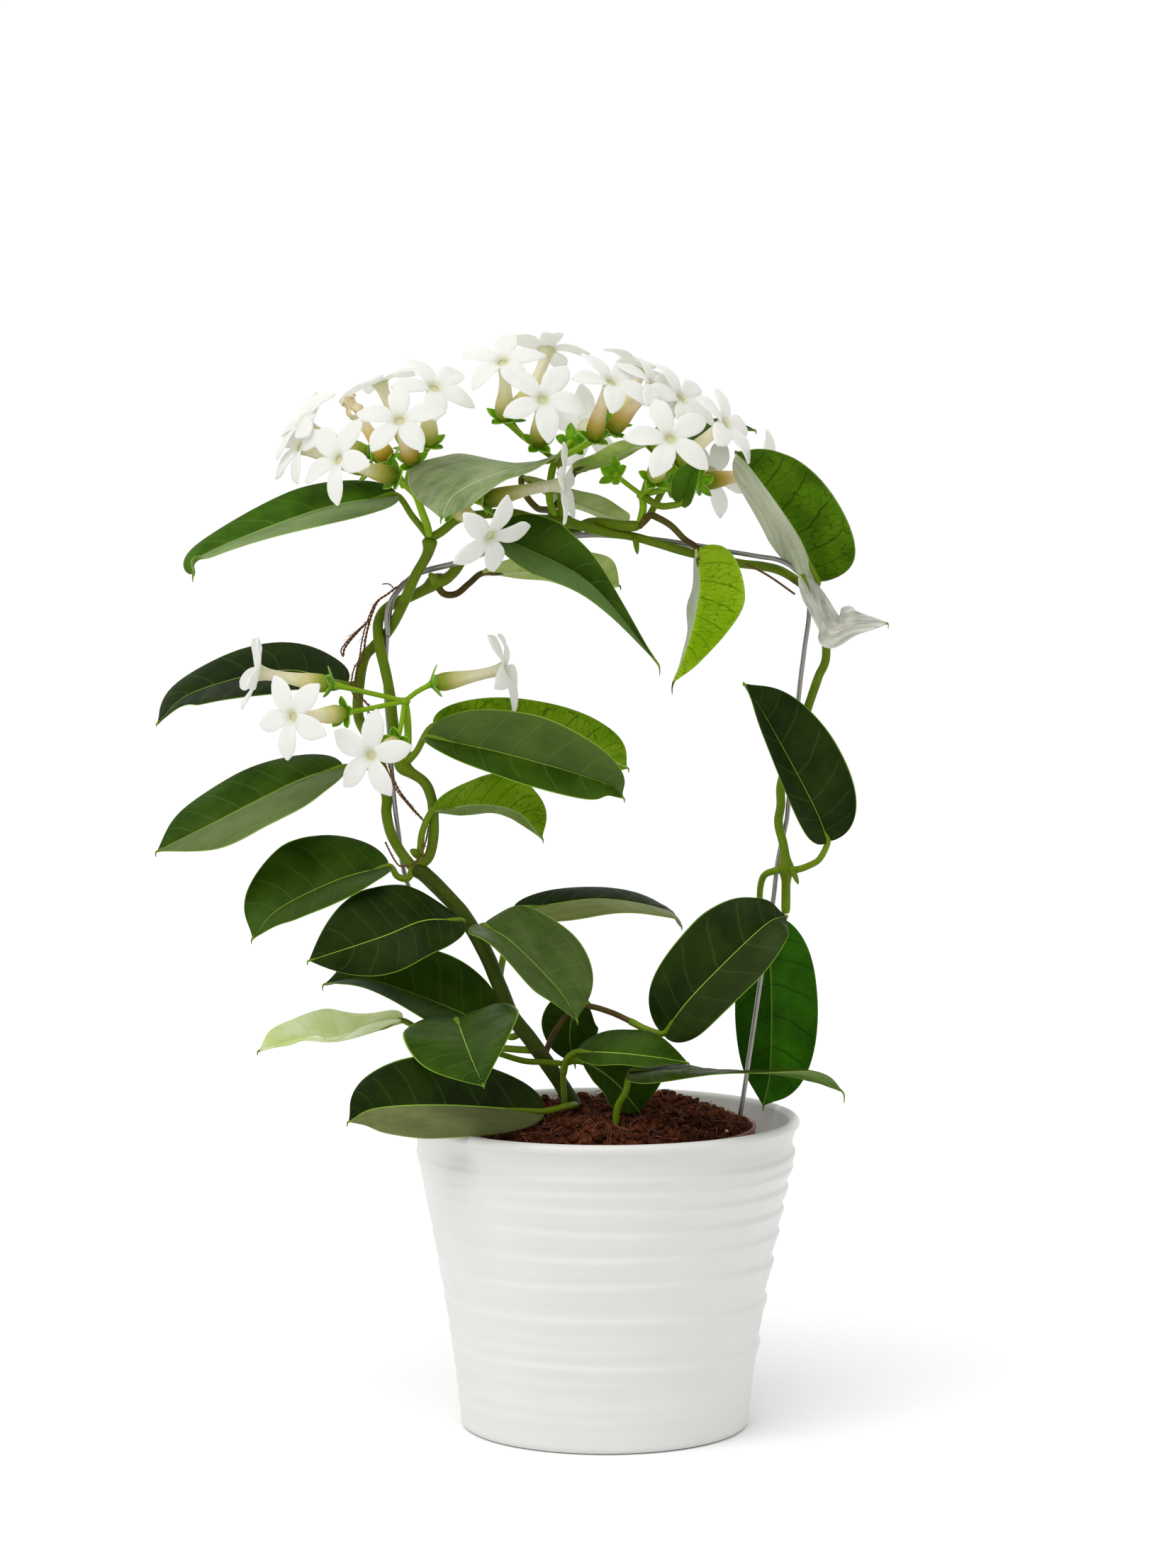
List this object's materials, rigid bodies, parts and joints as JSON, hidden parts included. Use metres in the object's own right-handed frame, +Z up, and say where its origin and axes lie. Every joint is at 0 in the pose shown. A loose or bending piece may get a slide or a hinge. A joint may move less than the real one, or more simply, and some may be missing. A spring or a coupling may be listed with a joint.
{
  "type": "potted climbing plant on a wire hoop",
  "caption": "Twining vine with leathery leaves and clusters of waxy white star flowers, trained on a wire hoop in a nursery pot that stands in a ribbed white cachepot.",
  "frame": {"origin": "middle of the cachepot's underside, on the surface it stands on", "axes": "+Z up; the hoop stands in the XZ plane; the flowers face -Y, the old stem leans towards -X"},
  "size_m": [0.2903, 0.1637, 0.4345],
  "materials": {
    "glazed_stoneware": "satin",
    "brown_plastic": "matte",
    "peat": "matte",
    "old_stem": "satin",
    "green_stem": "satin",
    "steel_wire": "satin",
    "leaf": "satin",
    "leaf_pale": "satin",
    "calyx": "satin",
    "petal": "satin",
    "twine": "matte"
  },
  "bodies": {
    "root": {"cachepot": "glazed_stoneware", "nursery_pot": "brown_plastic", "stem_base": "old_stem", "stem_left": "green_stem", "stem_right": "green_stem", "stem_top": "green_stem", "hoop_wire": "steel_wire", "hoop_wire_second": "steel_wire", "shoot_low": "green_stem", "shoot_brown": "green_stem", "umbel_left": "calyx", "umbel_middle": "calyx", "umbel_right": "calyx", "umbel_lower": "calyx", "leaf_top_left": "leaf", "leaf_top_arched": "leaf", "leaf_top_hanging": "leaf", "leaf_top_back_low": "leaf_pale", "leaves_top_back_pair": "leaf_pale", "leaf_right_behind_flowers": "leaf", "leaves_right_pair": "leaf_pale", "leaf_right_translucent": "leaf_pale", "leaf_right_dark": "leaf", "leaf_right_low_back": "leaf_pale", "leaf_low_right_flat": "leaf", "leaf_mid_right": "leaf", "leaf_mid_back": "leaf", "leaf_left_upper": "leaf", "leaf_left_middle": "leaf", "leaf_left_lower": "leaf", "leaf_low_left_dark": "leaf", "leaf_low_left_back": "leaf", "leaf_low_left_pale": "leaf_pale", "leaf_over_rim": "leaf", "leaves_middle_pair": "leaf", "leaf_middle_pale": "leaf_pale", "flowers_left_far_pair": "petal", "flower_left_front": "petal", "flower_left_bud": "petal", "flower_left_centre": "petal", "flower_left_top": "petal", "flower_left_back": "petal", "flower_left_drooping": "petal", "flower_left_side": "petal", "flowers_middle_front_pair": "petal", "flower_middle_top": "petal", "flower_middle_right": "petal", "flowers_top_right_pair": "petal", "flower_middle_high": "petal", "flower_middle_back": "petal", "flower_right_front": "petal", "flower_right_far": "petal", "flower_right_side": "petal", "flower_right_back": "petal", "flower_lower_far": "petal", "flower_lower_left": "petal", "flower_lower_front": "petal", "flower_lower_right": "petal", "twine": "twine", "soil": "peat"}
  },
  "joints": []
}
